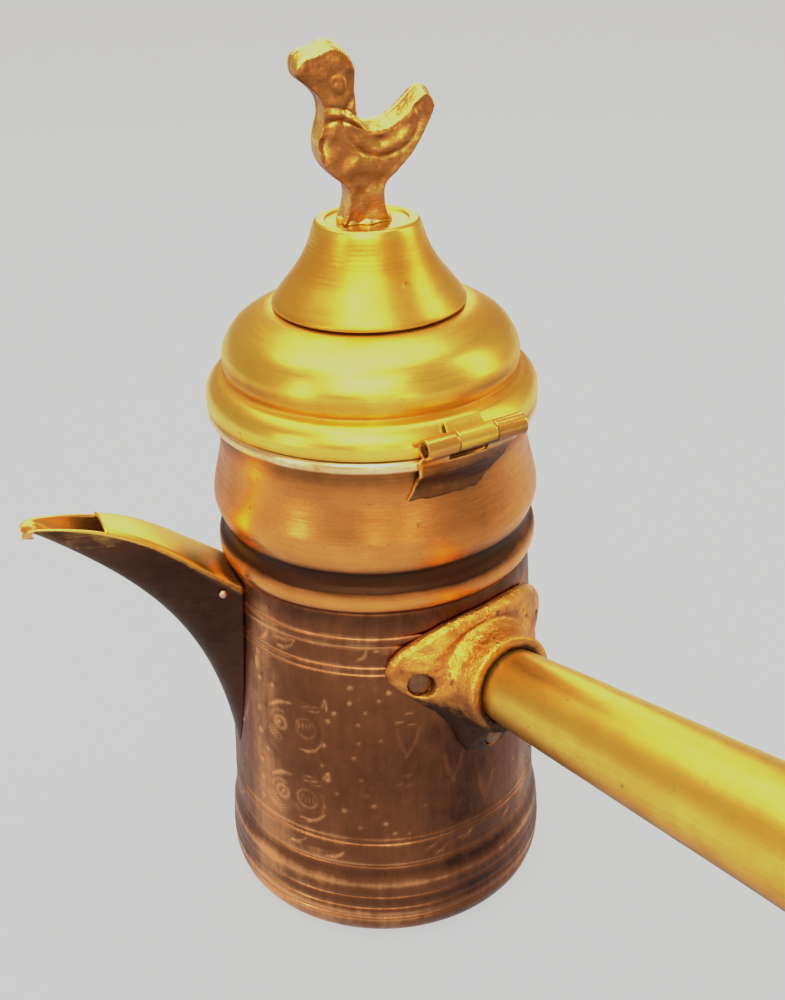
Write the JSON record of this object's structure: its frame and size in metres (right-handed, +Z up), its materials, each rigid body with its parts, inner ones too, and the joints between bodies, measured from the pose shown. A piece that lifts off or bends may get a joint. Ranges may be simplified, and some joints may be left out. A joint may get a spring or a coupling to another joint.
{
  "type": "coffee pot",
  "caption": "Traditional brass dallah coffee pot with a beaked side spout, a straight tubular handle on a riveted bracket and a hinged domed lid topped by a cast bird.",
  "frame": {"origin": "centre of the flat underside of the base", "axes": "+Z up the pot's axis, -X along the spout; the handle is 19 degrees from -Y towards +X and the lid's hinge 12 degrees"},
  "size_m": [0.1739, 0.2394, 0.2412],
  "materials": {
    "copper_brass": "orange-toned sheet brass, rubbed, dark patina low down",
    "yellow_brass": "yellow sheet brass, satin with fine scratches",
    "dark_brass": "brown patinated brass",
    "cast_brass": "rough cast brass, dark in the hollows"
  },
  "bodies": {
    "pot": {"body_shell": "copper_brass", "mouth_ring": "yellow_brass", "spout_trough": "dark_brass", "spout_cover": "yellow_brass", "spout_pin_near": "copper_brass", "spout_pin_far": "copper_brass", "handle_bracket": "cast_brass", "bracket_rivet_left": "dark_brass", "bracket_rivet_right": "dark_brass", "bracket_rivet_lower": "dark_brass", "handle_tube": "yellow_brass", "handle_end_cap": "yellow_brass", "hinge_leaf_body": "copper_brass", "hinge_pin": "dark_brass"},
    "lid": {"hinge_leaf_lid": "yellow_brass", "lid_dome": "yellow_brass", "lid_cone": "yellow_brass", "lid_collar": "yellow_brass", "finial_bird": "cast_brass", "finial_washer": "cast_brass"}
  },
  "joints": [
    {"name": "lid_hinge", "type": "hinge", "parent": "pot", "child": "lid", "pos_m": [0.00988, -0.04646, 0.1565], "axis": [0.9781, 0.2079, 0], "range_deg": [0, 110]}
  ]
}
